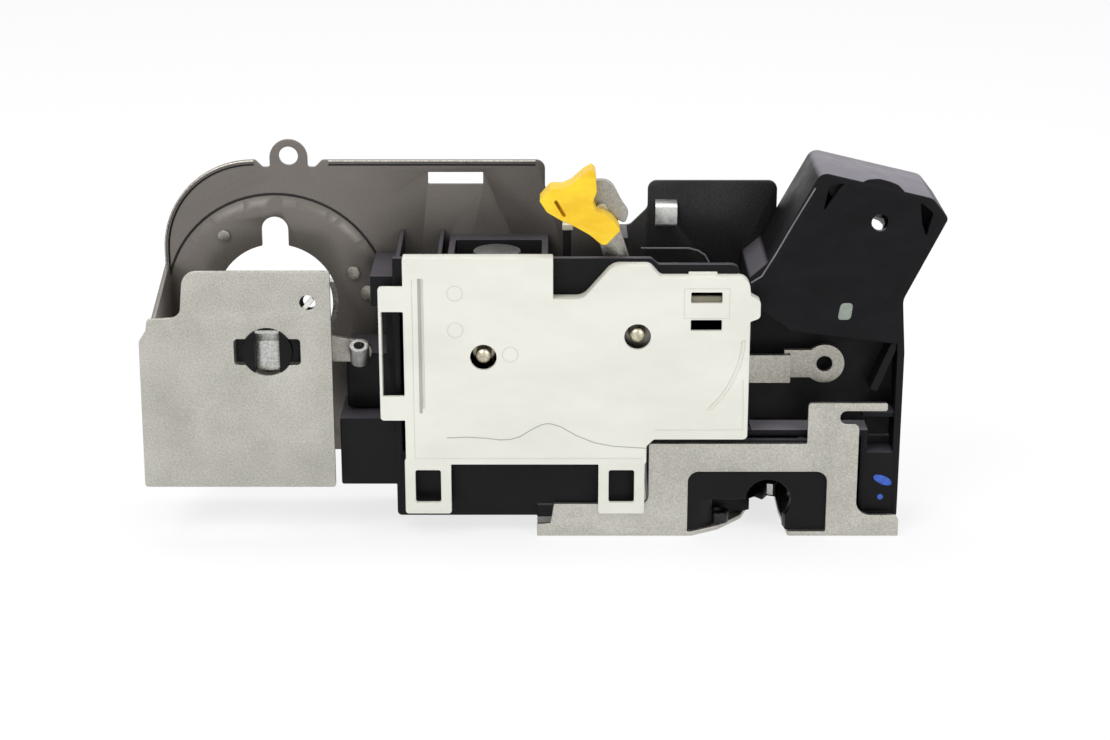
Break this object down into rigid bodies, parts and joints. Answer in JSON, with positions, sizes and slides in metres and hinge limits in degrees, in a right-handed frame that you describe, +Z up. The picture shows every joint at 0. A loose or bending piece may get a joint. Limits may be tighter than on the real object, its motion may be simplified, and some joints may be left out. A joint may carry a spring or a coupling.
{
  "type": "door latch actuator",
  "caption": "Vehicle door latch with forked claw and pawl, power lock gear drive, key follower plate, release lever and carrier plate for the door panel.",
  "frame": {"origin": "on the underside of the latch face plate's foot, near its left end, in line with the front of the lock plate; +X along the carrier plate", "axes": "+X along the carrier plate from the key plate to the raised arm, +Y away from the white cover, +Z up from the face plate"},
  "size_m": [0.2618, 0.0665, 0.1266],
  "materials": {
    "black_steel": "satin black phosphate and paint",
    "zinc_steel": "zinc plated, dull",
    "bright_steel": "bright zinc",
    "black_moulding": "fine moulded grain",
    "white_moulding": "satin",
    "yellow_moulding": "satin",
    "gear_moulding": "satin",
    "brass": "turned",
    "motor_steel": "zinc plated can"
  },
  "bodies": {
    "latch_body": {"carrier_plate": "black_steel", "key_cover_plate": "zinc_steel", "plate_standoffs": "zinc_steel", "lock_collar": "zinc_steel", "cable_clip": "bright_steel", "carrier_rivets": "black_steel", "actuator_case": "black_moulding", "actuator_cover": "white_moulding", "latch_frame": "black_moulding", "latch_plate": "zinc_steel", "latch_case": "black_moulding", "motor_can": "motor_steel", "motor_cap": "gear_moulding", "gear_pin": "bright_steel", "lever_pivot_pin": "brass", "cover_stud": "brass", "arm_pin": "zinc_steel", "lever_spacer": "bright_steel", "claw_rivet": "zinc_steel", "pawl_rivet": "zinc_steel", "front_rivet": "black_steel", "claw_spring": "bright_steel", "pawl_spring": "bright_steel", "position_switch": "black_moulding", "connector_terminals": "brass", "case_screws": "zinc_steel"},
    "key_follower": {"key_hub": "black_steel", "key_tongue": "bright_steel", "key_lever": "zinc_steel", "rod_eyelet": "bright_steel"},
    "motor_rotor": {"motor_shaft": "bright_steel", "worm": "brass"},
    "drive_gear": {"drive_gear": "gear_moulding"},
    "lock_lever": {"lock_lever": "zinc_steel", "clip_pin": "bright_steel"},
    "rod_clip": {"rod_clip": "yellow_moulding"},
    "release_lever": {"release_lever": "zinc_steel"},
    "claw": {"claw_core": "bright_steel", "claw_jacket": "black_moulding"},
    "pawl": {"pawl": "bright_steel"}
  },
  "joints": [
    {"name": "key_turn", "type": "hinge", "parent": "latch_body", "child": "key_follower", "pos_m": [-0.0886, -0.012, 0.0643], "axis": [0, 1, 0], "range_deg": [-30, 30]},
    {"name": "gear_turn", "type": "hinge", "parent": "latch_body", "child": "drive_gear", "pos_m": [0.00355, 0, 0.05], "axis": [0, 1, 0], "range_deg": [-76, 0]},
    {"name": "motor_spin", "type": "hinge", "parent": "latch_body", "child": "motor_rotor", "pos_m": [-0.014, -0.001, 0.05], "axis": [0, 0, 1], "range_deg": [0, 2052]},
    {"name": "lock_lever_turn", "type": "hinge", "parent": "latch_body", "child": "lock_lever", "pos_m": [0.0317, -0.008, 0.0706], "axis": [0, 1, 0], "range_deg": [0, 21.2]},
    {"name": "rod_clip_swivel", "type": "hinge", "parent": "lock_lever", "child": "rod_clip", "pos_m": [0.02, -0.013, 0.111], "axis": [0, 1, 0], "range_deg": [-20, 20]},
    {"name": "release_lever_turn", "type": "hinge", "parent": "latch_body", "child": "release_lever", "pos_m": [0.0317, -0.012, 0.0706], "axis": [0, 1, 0], "range_deg": [0, 14], "stiffness_Nm_per_rad": 0.3, "springref_deg": -11.46},
    {"name": "claw_turn", "type": "hinge", "parent": "latch_body", "child": "claw", "pos_m": [0.06, 0.02, 0.005], "axis": [0, 0, 1], "range_deg": [0, 48], "stiffness_Nm_per_rad": 0.05, "springref_deg": -5.73},
    {"name": "pawl_turn", "type": "hinge", "parent": "latch_body", "child": "pawl", "pos_m": [0.0905, 0.012, 0.005], "axis": [0, 0, 1], "range_deg": [-12, 5], "stiffness_Nm_per_rad": 0.02}
  ],
  "couplings": [
    {"joint": "motor_spin", "follows": "gear_turn", "ratio": -27},
    {"joint": "lock_lever_turn", "follows": "gear_turn", "ratio": -0.2786}
  ]
}
